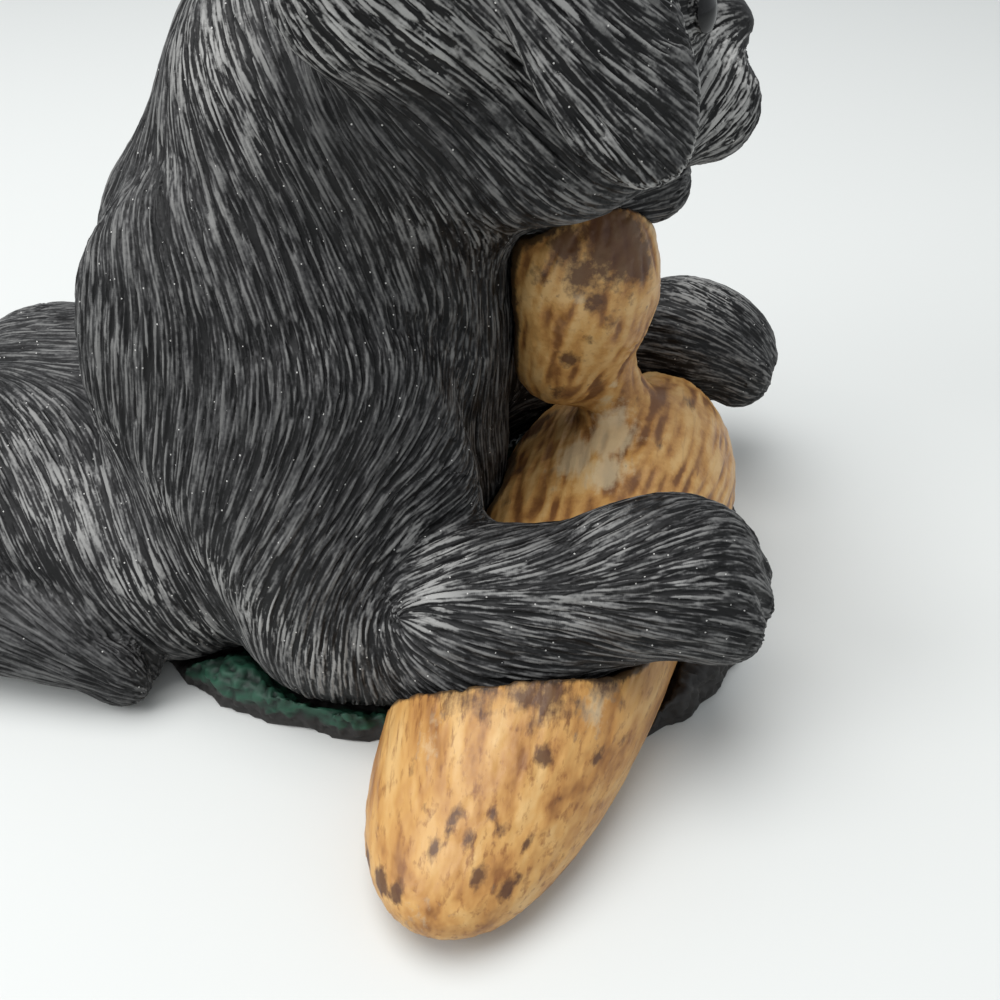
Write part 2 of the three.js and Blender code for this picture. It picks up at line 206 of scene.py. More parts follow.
def ear_flap(s):
    root = on_head(-1.5, 24.5 * s, 21)
    tip = on_head(14.2, 34 * s, -11.5)
    along = unit(tip - root)
    facing = unit(HEAD @ np.array([0.1, s, 0.3]))
    across = unit(np.cross(facing, along))
    out = np.cross(along, across)
    flap = np.stack([along, across, out], axis=1)
    return egg((root + tip) / 2 + EAR_STANDS_OFF * out, (19.8, 11.5, 4.5), 1.2, flap)


def puppy_forms():
    forms = [
        egg((-38, -2, 22), (44, 31, 22), 10),
        egg((-2, 0, 46), (24, 26, 36), 12),
        egg((0, -2, 24), (21, 30, 20), 8),
        egg((-74, -3, 21), (28, 30, 18.5), 12),
        egg((-16, 0, 64), (34, 27, 30), 14),
        egg((-3, -1, 91), (30, 25, 28), 12),
    ]
    for s in (-1, 1):
        blade = axes_across((0.457, 0.14 * s, -0.88), (0.89, 0, 0.457))
        upper_arm = axes_across((0.7, 0.3 * s, -0.65), (0.68, 0, 0.73))
        forms += [
            egg((-13, 25 * s, 42), (46, 31, 15), 5, blade),
            egg((-13, 31.5 * s, 34), (34, 21, 15.5), 2.5, upper_arm),
            limb((-8, 24 * s, 46), (-3, 35.5 * s, 16), 17, 15, 10),
            limb((-76, 17 * s - 2, 20.5), (-34, 30 * s, 16.5), 21, 17, 8),
            limb((-84, 40 * s, 13), (-46, 43 * s, 10), 11.5, 10, 2),
        ]
        forms += [
            egg((-40, 43 * s + 4.6 * t, 8), (7, 3, 7.5), 1.5) for t in (-1.5, -0.5, 0.5, 1.5)
        ]
    left_paw = axes_along((1, 0.1, -0.35))
    forms += [
        limb((-3, -36, 15), (24, -40.5, 19), 15, 16, 4),
        limb((24, -40.5, 19), (42, -40.5, 29), 16, 12.2, 5),
        egg((52, -41, 34.5), (14, 14, 12), 6, axes_along((1, 0, 0.15))),
        egg((58, -40.5, 33), (8, 12.5, 10.5), 4),
        limb((-3, 36, 15), (40, 42, 28), 15, 12, 5),
        egg((57, 42, 31), (18, 14, 12.5), 5, left_paw),
    ]
    for t in (-1.5, -0.5, 0.5, 1.5):
        forms += [
            egg((62.4 - 1.5 * abs(t), -40.5 + 6.1 * t, 32), (7.2, 3.9, 7), 1.5),
            egg((68.5 - 1.3 * abs(t), 42.7 + 6.2 * t, 27), (7, 3.9, 7.2), 1.5, left_paw),
        ]
    forms += [
        limb((-92, 2, 15), (-107, 14, 9.5), 10, 8, 8),
        limb((-107, 14, 9.5), (-103, 34, 8), 8, 7, 4),
        limb((-103, 34, 8), (-88, 53, 6.5), 7, 4.5, 4),
        egg(HEAD_CENTRE, (31, 27, 27), 10, HEAD),
        egg(on_muzzle(36.5, 0, 10), (7, 6.2, 4.8), 2.5, MUZZLE),
    ]
    for s in (-1, 1):
        forms += [
            egg(on_head(6, 16 * s, -10), (18, 12, 14), 5, HEAD),
            limb(on_muzzle(18, 7 * s, -5), on_muzzle(26, 7 * s, -4), 13, 11, 4),
            egg(on_muzzle(34.5, 7 * s, -1.5), (11.5, 9, 9.5), 3, MUZZLE),
        ]
    forms += [
        limb(on_muzzle(14, 0, 3), on_muzzle(34, 0, 4), 15, 7.5, 7),
        limb(on_muzzle(8, 0, -18), on_muzzle(36, 0, -16.5), 11, 7.2, 2.5),
    ]
    forms += [egg(on_muzzle(22, 12.5 * s, 11), (7, 6, 6), 3, MUZZLE) for s in (-1, 1)]
    for s in (-1, 1):
        forms += [
            ear_flap(s),
            limb(on_head(-8, 19 * s, 20), on_head(7, 23 * s, 17), 6, 5.5, 7),
            egg(on_head(-14, 19 * s, 11), (20, 9.5, 13), 5, HEAD),
        ]
    return forms


def decoy_forms():
    return [
        egg((27, -60, 7), (30, 17.5, 11), 8, GRAIN),
        egg((34, -32, 11), (42, 22, 16), 10, GRAIN),
        egg((41, 3, 13), (42, 22.5, 18.5), 10, GRAIN),
        egg((48, 2, 19), (30, 16.5, 19), 8, GRAIN),
        limb((42, 5, 36), (35.5, 4, 50), 6.5, 6.8, 5),
        egg((31.5, 3, 49.2), (10, 12, 11.5), 4),
        egg((34.5, 3, 62), (13.5, 14.5, 18), 4),
        egg((38, 21, 55.5), (13, 6.5, 3.8), 4, axes_along((0.15, 1, -0.12))),
    ]


PUPPY = puppy_forms()
DECOY = decoy_forms()

# Where the fur lies, read off the picture: across, down, and the lean of the strands there
# in degrees, 0 level, 45 falling to the right and 90 upright.
BODY_MARKS = {
    "neck": [
        (185, 42, 90), (247, 25, 63), (227, 104, 63), (164, 125, 90), (293, 175, 63),
        (343, 167, 60), (130, 215, 96), (202, 233, 63), (260, 290, 73), (352, 233, 67),
        (425, 245, 85),
    ],
    "shoulder": [
        (102, 362, 90), (170, 383, 90), (293, 345, 70), (393, 345, 63), (425, 380, 105),
        (240, 400, 93), (352, 446, 120), (450, 420, 114), (247, 479, 110), (177, 467, 96),
    ],
    "upper arm": [
        (310, 533, 127), (262, 560, 127), (352, 558, 117), (318, 605, 107), (352, 660, 96),
        (377, 630, 84),
    ],
    "foreleg, fanning out from the elbow": [
        (422, 548, -41), (412, 572, -30), (443, 591, -2), (422, 616, 24), (404, 645, 53),
        (470, 645, 30), (464, 548, -30), (506, 572, -21), (506, 628, 21), (547, 540, -30),
        (610, 545, -30), (652, 527, -41), (702, 522, -37), (589, 599, 6), (631, 570, -12),
        (568, 637, 24), (631, 645, 24), (714, 587, 0), (714, 640, 9), (745, 600, 24),
    ],
    "flank": [
        (30, 400, 53), (40, 480, 63), (100, 520, 70), (150, 570, 65), (60, 560, 73),
        (185, 620, 56), (85, 650, 30),
    ],
}
HEAD_MARKS = {
    "long strands behind the ear": [
        (310, 67, 39), (393, 67, 40), (352, 25, 37), (443, 30, 35), (410, 140, 30),
    ],
    "ear": [
        (539, 30, 53), (556, 83, 60), (600, 145, 63), (600, 50, 37), (631, 25, 24),
        (668, 83, 12), (668, 121, 37), (643, 150, 66),
    ],
    "jaw and lips": [
        (506, 175, 37), (575, 205, 18), (485, 210, 53), (443, 215, 72), (702, 62, 107),
        (735, 62, 114), (727, 125, 127), (677, 192, 135),
    ],
}
FAR_PAW_MARKS = [(700, 320, 21), (745, 350, 29)]

# The same for what the picture doesn't show: a place in millimetres and the way the strands run.
HIDDEN_COMBS = {
    "nape": [(-38, -4, 88, -0.3, 0, -1), (-45, -4, 65, -0.3, 0, -1), (-30, -6, 104, -0.6, 0, -1)],
    "spine": [(-60, -2, 46, 1, 0, 0), (-85, -2, 40, 0.9, 0, 0.4), (-98, -4, 30, 0.3, 0, 1)],
    "thigh": [(-90, -24, 28, -0.4, -0.3, -0.9), (-72, -38, 26, 0.35, -0.4, -0.8)],
    "hind foot": [(-80, -50, 14, 0.8, -0.1, -0.5), (-60, -53, 12, 1, 0, -0.2)],
    "chest": [(20, -8, 62, 0, 0, -1), (21, -6, 40, 0, 0, -1), (19, -16, 30, 0, 0, -1)],
    "inside of the foreleg": [(25, -28, 20, 1, 0, 0.1), (50, -29, 28, 1, 0, 0.1)],
    "under the paw": [(66, -40, 36, 0.7, 0, -0.7), (57, -41, 22, 1, 0, 0)],
}
# forward, left and up from the middle of the head
CROWN_COMBS = {
    "crown": [(-18, -4, 24, -0.9, 0, -0.3), (4, -8, 26, -1, -0.2, 0.1)],
    "brow": [(20, -6, 20, -0.7, -0.2, 0.65), (24, -22, 4, -0.7, -0.5, 0.3)],
    "bridge of the nose": [(34, -3, 3, -1, 0, 0.2)],
    "cheek": [(12, -26, 0, -0.8, -0.2, -0.5), (-24, -14, 10, -0.5, -0.3, -0.8)],
    "root of the ear": [(4, -24, 22, 0.5, -0.6, -0.6)],
    "throat": [(12, -4, -28, -1, 0, 0.1), (30, -4, -26, -1, 0, 0.2)],
}
TAIL_COMBS = [
    (-100, 8, 12, -0.75, 0.62, -0.2),
    (-106, 22, 10, 0.2, 0.98, 0),
    (-96, 44, 8, 0.62, 0.78, -0.06),
]

PICTURE_RIGHT = np.array([math.cos(CAMERA_TURN), math.sin(CAMERA_TURN), 0])
LEVEL_VIEW = np.array([-math.sin(CAMERA_TURN), math.cos(CAMERA_TURN), 0])
PICTURE_VIEW = LEVEL_VIEW * math.cos(CAMERA_DOWN) - np.array([0, 0, math.sin(CAMERA_DOWN)])
PICTURE_UP = LEVEL_VIEW * math.sin(CAMERA_DOWN) + np.array([0, 0, math.cos(CAMERA_DOWN)])


def slope_of(p, forms, step=0.2):
    d = melt(p, forms)
    return np.stack([(melt(p + step * axis, forms) - d) / step for axis in np.eye(3)], axis=1)


# A line of sight starts this far from the camera and steps on until it meets a form.
SIGHT_START = 60.0
SIGHT_STEPS = 90
SIGHT_PACE = 0.8


def seen(across, down, forms):
    """The places on the forms that the picture shows at those pixels, and the lines of sight."""
    x = (np.array(across, float) - PICTURE / 2) / FOCAL_PIXELS
    y = (PICTURE / 2 - np.array(down, float)) / FOCAL_PIXELS
    ray = unit(PICTURE_VIEW + x[:, None] * PICTURE_RIGHT + y[:, None] * PICTURE_UP)
    reach = np.full(len(x), SIGHT_START)
    for _ in range(SIGHT_STEPS):
        reach += SIGHT_PACE * melt(CAMERA_PLACE + ray * reach[:, None], forms)
    return CAMERA_PLACE + ray * reach[:, None], ray


def combs_seen(marks):
    """Marks on the picture as places and lines on the puppy."""
    across, down, lean = np.array(marks, float).T
    place, ray = seen(across, down, PUPPY)
    lean = np.radians(lean)
    line = np.cos(lean)[:, None] * PICTURE_RIGHT - np.sin(lean)[:, None] * PICTURE_UP
    out = unit(slope_of(place, PUPPY))
    line -= ray * ((line * out).sum(-1) / (ray * out).sum(-1))[:, None]
    return np.hstack([place, unit(line)])


def listed(groups):
    return [row for rows in groups.values() for row in rows]


def in_head(combs, turn):
    return np.hstack([(combs[:, :3] - HEAD_CENTRE) @ turn + HEAD_CENTRE, combs[:, 3:] @ turn])


def all_combs():
    """Every comb, with those of one side repeated on the other."""
    swap = np.array([1, -1, 1, 1, -1, 1])
    body = np.vstack([combs_seen(listed(BODY_MARKS)), np.array(listed(HIDDEN_COMBS), float)])
    head = combs_seen(listed(HEAD_MARKS))
    flip = HEAD @ np.diag([1.0, -1.0, 1.0]) @ HEAD.T
    crown = np.array(listed(CROWN_COMBS), float)
    crown = np.vstack([crown, crown * swap])
    crown[:, :3] = crown[:, :3] @ HEAD.T + HEAD_CENTRE
    crown[:, 3:] = crown[:, 3:] @ HEAD.T
    tail = np.array(TAIL_COMBS, float)
    far_paw = combs_seen(FAR_PAW_MARKS)
    return np.vstack([body, body * swap, head, in_head(head, flip), crown, tail, far_paw])


COMB_REACH = 8.0
COMB_TAIL = 1e-4                           # how much a comb still counts far from its place
COMBS = all_combs()


def fur_direction(p, out):
    """The line that the strands follow at each point, in the surface."""
    if len(p) > BLOCK:
        return in_blocks(fur_direction, p, out)
    upright = np.abs(out[:, :1]) < 0.7
    side = unit(np.cross(out, np.where(upright, [[1.0, 0, 0]], [[0, 0, 1.0]])))
    other = np.cross(out, side)
    a = np.full(len(p), 1e-9)
    b = np.zeros(len(p))
    forward = np.zeros((len(p), 3))
    for row in COMBS:
        gap = ((p - row[:3]) ** 2).sum(-1) / COMB_REACH**2
        w = np.exp(-gap / 2) + COMB_TAIL / (1 + gap) ** 2
        u = side @ row[3:]
        v = other @ row[3:]
        a += w * (u * u - v * v)
        b += w * 2 * u * v
        forward += w[:, None] * row[3:]
    angle = np.arctan2(b, a) / 2
    line = side * np.cos(angle)[:, None] + other * np.sin(angle)[:, None]
    return np.where((line * forward).sum(-1, keepdims=True) < 0, -line, line)


LATTICE = 96
NOISE_SPREAD = 0.045                       # variance of the noise times its overlap along a line


def grain_noise(p, cell, lattice):
    """Smooth random values from a repeating lattice of that cell size."""
    q = p / cell
    low = np.floor(q)
    f = (q - low).astype(np.float32)
    f = f * f * (3 - 2 * f)
    low = low.astype(np.int64) % LATTICE
    high = (low + 1) % LATTICE
    flat = lattice.ravel()
    total = np.zeros(len(p), np.float32)
    for i in (0, 1):
        x = (high if i else low)[:, 0] * LATTICE * LATTICE
        wx = f[:, 0] if i else 1 - f[:, 0]
        for j in (0, 1):
            y = (high if j else low)[:, 1] * LATTICE
            wy = f[:, 1] if j else 1 - f[:, 1]
            for k in (0, 1):
                z = (high if k else low)[:, 2]
                wz = f[:, 2] if k else 1 - f[:, 2]
                total += wx * wy * wz * flat[x + y + z]
    return total


def lattice_of(seed):
    return np.random.default_rng(seed).random((LATTICE, LATTICE, LATTICE), dtype=np.float32)


def strands(p, line, cell, half, seed):
    """Random values smeared along the line: high on a strand, low in the groove beside it."""
    if len(p) > BLOCK:
        return in_blocks(lambda q, along: strands(q, along, cell, half, seed), p, line)
    lattice = lattice_of(seed)
    total = np.zeros(len(p))
    steps = np.arange(-half, half + 0.01, cell * 0.9)
    weights = 1 + np.cos(math.pi * steps / (half + cell))
    for s, weight in zip(steps, weights):
        total += weight * (grain_noise(p + line * s, cell, lattice) - 0.5)
    return total / math.sqrt((weights**2).sum() * NOISE_SPREAD)


def blob(p, place, radius):
    return np.exp(-((p - np.array(place, float)) ** 2).sum(-1) / radius**2)


def smooth_step(x, low, high):
    t = np.clip((x - low) / (high - low), 0, 1)
    return t * t * (3 - 2 * t)


# Meshes
def mesh_object(name, mesh):
    o = bpy.data.objects.new(name, mesh)
    bpy.context.scene.collection.objects.link(o)
    return o


def applied(o):
    """The object's mesh with its modifiers in it."""
    graph = bpy.context.evaluated_depsgraph_get()
    mesh = bpy.data.meshes.new_from_object(o.evaluated_get(graph))
    old = o.data
    o.modifiers.clear()
    o.data = mesh
    bpy.data.meshes.remove(old)
    return o


def skin_of(node, voxel):
    """An even skin over a copy of the solid."""
    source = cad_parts[node]
    mesh = source.data.copy()
    mesh.transform(source.matrix_world)
    work = bmesh.new()
    work.from_mesh(mesh)
    bmesh.ops.remove_doubles(work, verts=work.verts, dist=1e-7)
    work.to_mesh(mesh)
    work.free()
    o = mesh_object(node + "_skin", mesh)
    remesh = o.modifiers.new("skin", "REMESH")
    remesh.mode = "VOXEL"
    remesh.voxel_size = voxel * MM
    return applied(o)


def points(o):
    co = np.empty(len(o.data.vertices) * 3)
    o.data.vertices.foreach_get("co", co)
    return co.reshape(-1, 3) / MM


def normals(o):
    no = np.empty(len(o.data.vertices) * 3)
    o.data.vertex_normals.foreach_get("vector", no)
    return no.reshape(-1, 3)


def quads(o):
    corners = np.empty(len(o.data.loops), np.int64)
    o.data.loops.foreach_get("vertex_index", corners)
    return corners.reshape(-1, 4)


def set_points(o, p, node):
    """Moves the points, never past the solid's own box."""
    low, high = (np.array(c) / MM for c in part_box(node))
    o.data.vertices.foreach_set("co", (np.clip(p, low, high) * MM).ravel())
    o.data.update()


def put(o, name, values):
    attribute = o.data.attributes.new(name, "FLOAT", "POINT")
    attribute.data.foreach_set("value", np.asarray(values, np.float32))


def put_line(o, name, line):
    attribute = o.data.attributes.new(name, "FLOAT_VECTOR", "POINT")
    attribute.data.foreach_set("vector", np.asarray(line, np.float32).ravel())


def get(o, name):
    values = np.empty(len(o.data.vertices), np.float32)
    o.data.attributes[name].data.foreach_get("value", values)
    return values


PULL = 1.3


def draw_on(o, forms, node):
    """Pulls the skin onto the smooth forms wherever it lies close to them."""
    p = points(o)
    d = melt(p, forms)
    near = np.nonzero(np.abs(d) < PULL)[0]
    q = p[near]
    slope = slope_of(q, forms)
    steep = np.maximum((slope * slope).sum(-1), 0.3)
    q = q - slope * (d[near] / steep)[:, None]
    again = melt(q, forms)
    q = q - slope * (again / steep)[:, None]
    keep = smooth_step(np.abs(d[near]), PULL, PULL * 0.6)
    keep = keep * smooth_step(p[near][:, 2], 0.1, 0.9)
    p[near] += (q - p[near]) * keep[:, None]
    set_points(o, p, node)


def smoothed(o, levels):
    sub = o.modifiers.new("finer", "SUBSURF")
    sub.levels = levels
    sub.render_levels = levels
    return applied(o)


def thinned(o, triangles):
    cut = o.modifiers.new("thin", "DECIMATE")
    cut.ratio = min(1.0, triangles / (2 * len(o.data.polygons)))
    return applied(o)


OVERLAP_ROUNDS = 2


def part_of(p, faces, chosen, name):
    """A piece of the skin, with a rim that runs on under the pieces beside it."""
    rim = np.zeros(len(p))
    touched = np.zeros(len(p), bool)
    for n in range(OVERLAP_ROUNDS):
        touched[faces[chosen]] = True
        chosen = touched[faces].any(axis=1)
        fresh = np.zeros(len(p), bool)
        fresh[faces[chosen]] = True
        rim[fresh & ~touched] = ((n + 1) / OVERLAP_ROUNDS) ** 2
    used = np.unique(faces[chosen])
    index = np.full(len(p), -1)
    index[used] = np.arange(len(used))
    mesh = bpy.data.meshes.new(name)
    mesh.from_pydata((p[used] * MM).tolist(), [], index[faces[chosen]].tolist())
    o = mesh_object(name, mesh)
    put(o, "rim", rim[used])
    return o


# The eyes and the nose are bare of fur.
EYE_RADIUS = 3.2
EYES = [on_muzzle(22, 12.5 * s, 11) + MUZZLE @ unit((0.62, 0.72 * s, 0.3)) * 5.6 for s in (-1, 1)]
NOSE = egg(on_muzzle(36.5, 0, 10), (7, 6.2, 4.8), 1, MUZZLE)
NOSTRILS = [on_muzzle(42.6, 3.2 * s, 9.2) for s in (-1, 1)]
WHISKER_PITS = [
    on_muzzle(31 + 3.6 * column, s * (13.5 - 0.9 * column), -4.5 + 3.4 * row)
    for s in (-1, 1)
    for row in range(3)
    for column in range(4)
]
# The fold between neck and shoulder, read off the picture
FOLD_MARKS = [
    (250, 348), (280, 336), (310, 329), (345, 326), (380, 326), (415, 329), (450, 335), (485, 345),
]


def line_of(marks):
    """Places along a line on the picture, close enough together to draw with."""
    across, down = np.array(marks, float).T
    t = np.arange(0, len(marks) - 0.999, 0.2)
    steps = np.arange(len(marks))
    place, _ = seen(np.interp(t, steps, across), np.interp(t, steps, down), PUPPY)
    return place


def away_from(p, places):
    """Distance from each point to the nearest of the places."""
    gap = np.full(len(p), 1e9)
    for place in places:
        gap = np.minimum(gap, ((p - place) ** 2).sum(-1))
    return np.sqrt(gap)


def ear_relief(p):
    """The crease below and before each ear flap, and the flap's lit edge."""
    crease = np.zeros(len(p))
    edge = np.zeros(len(p))
    for s in (-1, 1):
        flap = ear_flap(s)
        gap = egg_distance(p, flap)
        q = (p - flap["centre"]) @ flap["axes"] / flap["radii"]
        free = smooth_step(q[:, 0] - s * q[:, 1], -0.3, 0.5)
        crease = np.maximum(crease, free * smooth_step(gap, 0.1, 0.6) * smooth_step(gap, 3.0, 0.9))
        rim = smooth_step((q * q)[:, :2].sum(-1), 0.78, 0.94)
        edge = np.maximum(edge, free * rim * smooth_step(gap, 0.5, 0.1))
    return crease, edge


STRAND_SEED = 11
WISP_SEED = 12
LUMP_SEED = 13
LUMP_CELL = 3.2
WORN_SMOOTH = [(-40, -42, 28, 20, 1.0), (-6, -50, 12, 14, 0.6)]   # place, radius, strength

# Depths in millimetres
LUMP_DEPTH = 0.2
LID_DEPTH = 0.5
FOLD_DEPTH = 0.7
UNDER_EAR_DEPTH = 1.3
PIT_DEPTH = 0.3
NOSTRIL_DEPTH = 1.1
RIM_DEPTH = 0.4

# Half widths in millimetres
FOLD_WIDTH = 2.6
FOLD_LIT_WIDTH = 2.0
PIT_WIDTH = 0.6
NOSTRIL_WIDTH = 1.4


def hollow_at(p, places, width):
    return np.exp(-((away_from(p, places) / width) ** 2))


def strand_ridges(p, line):
    """One on top of a strand, nought in the groove beside it."""
    strand = strands(p, line, STRAND_CELL, STRAND_HALF, STRAND_SEED)
    wisp = strands(p, line, WISP_CELL, WISP_HALF, WISP_SEED)
    high = strand + 0.25 * wisp
    return 0.65 * smooth_step(high, -1.0, 0.0) + 0.35 * smooth_step(high, 0.0, 1.6)


def bare_places(p):
    """The bare nose and eyes, the eyes alone, and the lids round them."""
    nose = smooth_step(egg_distance(p, NOSE), 0.9, 0.1)
    to_eye = away_from(p, EYES)
    eye = smooth_step(to_eye, EYE_RADIUS + 0.25, EYE_RADIUS - 0.15)
    lid = smooth_step(np.abs(to_eye - EYE_RADIUS - 0.5), 0.9, 0.2) * (1 - eye)
    return np.maximum(nose, eye), eye, lid


def dressed(o, levels, triangles):
    """One piece of the puppy with its fur cut in."""
    o = smoothed(o, levels)
    p = points(o)
    out = normals(o)
    line = fur_direction(p, out)
    ridge = strand_ridges(p, line)
    lumps = grain_noise(p, LUMP_CELL, lattice_of(LUMP_SEED)) - 0.5
    bare, eye, lid = bare_places(p)
    free = smooth_step(p[:, 2], 0.4, 2.0)
    fold = hollow_at(p, FOLD, FOLD_WIDTH)
    under_ear, ear_edge = ear_relief(p)

    worn = np.max([row[4] * blob(p, row[:3], row[3]) for row in WORN_SMOOTH], axis=0)
    depth = GROOVE_DEPTH * (1 - bare) * free * (1 - 0.5 * worn)
    sunk = depth * (1 - ridge) + LUMP_DEPTH * (0.5 - lumps) * free * (1 - bare)
    sunk += LID_DEPTH * lid + FOLD_DEPTH * fold + UNDER_EAR_DEPTH * under_ear
    sunk += PIT_DEPTH * hollow_at(p, WHISKER_PITS, PIT_WIDTH)
    sunk += NOSTRIL_DEPTH * hollow_at(p, NOSTRILS, NOSTRIL_WIDTH)
    sunk += RIM_DEPTH * get(o, "rim")
    set_points(o, p - out * sunk[:, None], "puppy")

    # The fold and the crease under each ear darken the fur as painted shade; the edge below the fold and
    # the ear flap's lit edge are painted highlights.
    below_fold = hollow_at(p, FOLD - FOLD_LIT, FOLD_LIT_WIDTH)
    rub_and_painted_light = np.maximum(fur_rub_highlight_and_shade(p), 0.5 * below_fold) * (1 - 0.5 * fold)
    put(o, "ridge", ridge * (1 - bare) * (1 - 0.8 * under_ear) * (1 - 0.35 * fold))
    put(o, "bare", bare)
    put(o, "eye", eye)
    put(o, "rub_and_painted_light", np.maximum(rub_and_painted_light, 0.9 * ear_edge))
    put_line(o, "strand_line", line)
    o.data.attributes.remove(o.data.attributes["rim"])
    return thinned(o, triangles)


# Where the black is brushed over with grey, together with painted highlights where the light falls on
# the fur: across and down in the picture, radius in millimetres, and strength.
RUB_AND_HIGHLIGHT_MARKS = {
    "neck": [(205, 60, 13, 0.85), (245, 130, 11, 0.6), (175, 150, 11, 0.4), (225, 215, 8, 0.4)],
    "long strands behind the ear": [(330, 40, 11, 1.0), (420, 40, 9, 1.0), (500, 60, 7, 0.8)],
    "ear": [
        (550, 70, 7, 0.65), (600, 140, 7, 0.7), (640, 170, 4, 0.5), (640, 60, 10, 0.55),
        (560, 20, 7, 0.6),
    ],
    "jaw": [
        (420, 215, 9, 0.45), (520, 150, 6, 0.4), (560, 200, 7, 0.4), (640, 210, 6, 0.35),
        (480, 240, 7, 0.4),
    ],
    "top of the shoulder": [(310, 345, 5, 0.6), (390, 345, 5, 0.4), (110, 340, 8, 0.35)],
    "edge of the upper arm": [
        (110, 440, 7, 0.5), (160, 500, 7, 0.6), (210, 570, 7, 0.7), (260, 620, 8, 0.8),
        (320, 660, 8, 0.7),
    ],
    "elbow": [(380, 650, 8, 0.5), (430, 600, 7, 0.85), (440, 555, 7, 0.8)],
    "foreleg": [
        (500, 580, 9, 0.6), (560, 620, 9, 0.5), (610, 560, 9, 0.5), (680, 560, 10, 0.5),
        (600, 520, 7, 0.6),
    ],
    "flank": [(60, 520, 14, 0.8), (130, 590, 10, 0.85), (20, 430, 14, 0.55), (190, 630, 6, 0.7)],
    "lips": [(735, 60, 10, 1.0), (725, 125, 9, 1.0), (715, 20, 8, 0.8)],
}
# Painted shade, in the same columns.
SHADE_MARKS = {
    "under the ear": [(340, 130, 9, 0.9), (420, 150, 7, 0.6), (300, 200, 8, 0.6)],
    "shoulder": [(250, 420, 12, 0.55), (400, 430, 10, 0.5), (330, 480, 10, 0.4)],
    "hind foot": [(40, 640, 16, 0.7), (110, 660, 8, 0.6)],
    "flank beside the shoulder": [(85, 400, 6, 0.5)],
}
BASE_RUB = 0.22
FAR_PAW_RUB_AND_HIGHLIGHT = (58, 40, 44, 11, 0.8)        # place and radius in millimetres, and strength
OTHER_SIDE = np.array([1, -1, 1, 1, 0.8])  # on the other side the brush, the painted highlights and the painted shade are a little weaker


def marked(groups):
    """Places on the puppy with their radius and strength, and the same on its other side."""
    rows = np.array(listed(groups), float)
    place, _ = seen(rows[:, 0], rows[:, 1], PUPPY)
    here = np.hstack([place, rows[:, 2:]])
    return np.vstack([here, here * OTHER_SIDE])


RUBBED_AND_LIT = marked(RUB_AND_HIGHLIGHT_MARKS)
SHADED = marked(SHADE_MARKS)
FOLD = line_of(FOLD_MARKS)
FOLD_LIT = np.array([0, 0, 3.0])           # from the fold down to the edge that gets a painted highlight


# The grey brush with painted highlights, lessened where painted shade lies.
def fur_rub_highlight_and_shade(p):
    total = np.full(len(p), BASE_RUB)
    for row in (*RUBBED_AND_LIT, np.array(FAR_PAW_RUB_AND_HIGHLIGHT)):
        total = np.maximum(total, row[4] * blob(p, row[:3], row[3]))
    # painted shade takes the grey away here
    for row in SHADED:
        total = total * (1 - row[4] * blob(p, row[:3], row[3]))
    return total


# Materials
FUR_BLACK = (0.003, 0.0029, 0.0032, 1)
FUR_DULL = (0.045, 0.0445, 0.045, 1)
FUR_GREY = (0.42, 0.415, 0.40, 1)
FUR_DUST = (0.5, 0.49, 0.47, 1)
BARE_BLACK = (0.006, 0.006, 0.0065, 1)
HAIR_CONTRAST = 2.6


def material(name, roughness, colour=(0.8, 0.8, 0.8, 1)):
    m = bpy.data.materials.new(name)
    m.use_nodes = True
    shader = m.node_tree.nodes["Principled BSDF"]
    shader.inputs["Roughness"].default_value = roughness
    shader.inputs["Base Color"].default_value = colour
    return m, m.node_tree, shader


def add(tree, kind, inputs=None, **settings):
    n = tree.nodes.new(kind)
    for key, value in settings.items():
        setattr(n, key, value)
    for key, value in (inputs or {}).items():
        if isinstance(value, bpy.types.NodeSocket):
            tree.links.new(value, n.inputs[key])
        else:
            n.inputs[key].default_value = value
    return n


def math_node(tree, operation, a, b=0.0, c=0.0, clamp=False):
    n = add(tree, "ShaderNodeMath", {0: a, 1: b, 2: c}, operation=operation)
    n.use_clamp = clamp
    return n.outputs[0]


def spread(tree, value, factor, offset, clamp=False):
    """The value times the factor, and the offset added."""
    return math_node(tree, "MULTIPLY_ADD", value, factor, offset, clamp)


def times(tree, a, b, clamp=False):
    return math_node(tree, "MULTIPLY", a, b, clamp=clamp)


def mix_colour(tree, factor, a, b):
    n = add(tree, "ShaderNodeMix", data_type="RGBA")
    for socket, value in ((n.inputs[0], factor), (n.inputs[6], a), (n.inputs[7], b)):
        if isinstance(value, bpy.types.NodeSocket):
            tree.links.new(value, socket)
        else:
            socket.default_value = value
    return n.outputs[2]


def mix_value(tree, factor, a, b):
    n = add(tree, "ShaderNodeMix", {0: factor, 2: a, 3: b}, data_type="FLOAT")
    return n.outputs[0]


def stain_and_light_strength(tree, name, ragged):
    """A ragged edge for stains, painted shade and painted highlights."""
    total = math_node(tree, "ADD", attribute(tree, name), ragged)
    return spread(tree, total, 2.8, -0.65, clamp=True)


def ramp(tree, factor, stops):
    n = add(tree, "ShaderNodeValToRGB", {"Fac": factor})
    line = n.color_ramp
    while len(line.elements) < len(stops):
        line.elements.new(0.5)
    for element, (place, colour) in zip(line.elements, stops):
        element.position = place
        element.color = (*colour, 1)
    return n.outputs[0]


def attribute(tree, name):
    return add(tree, "ShaderNodeAttribute", attribute_name=name).outputs["Fac"]


def object_coordinates(tree):
    return add(tree, "ShaderNodeTexCoord").outputs["Object"]


def noise(tree, vector, scale, detail=2.0, roughness=0.5):
    return add(
        tree, "ShaderNodeTexNoise",
        {"Vector": vector, "Scale": scale, "Detail": detail, "Roughness": roughness},
    ).outputs["Fac"]


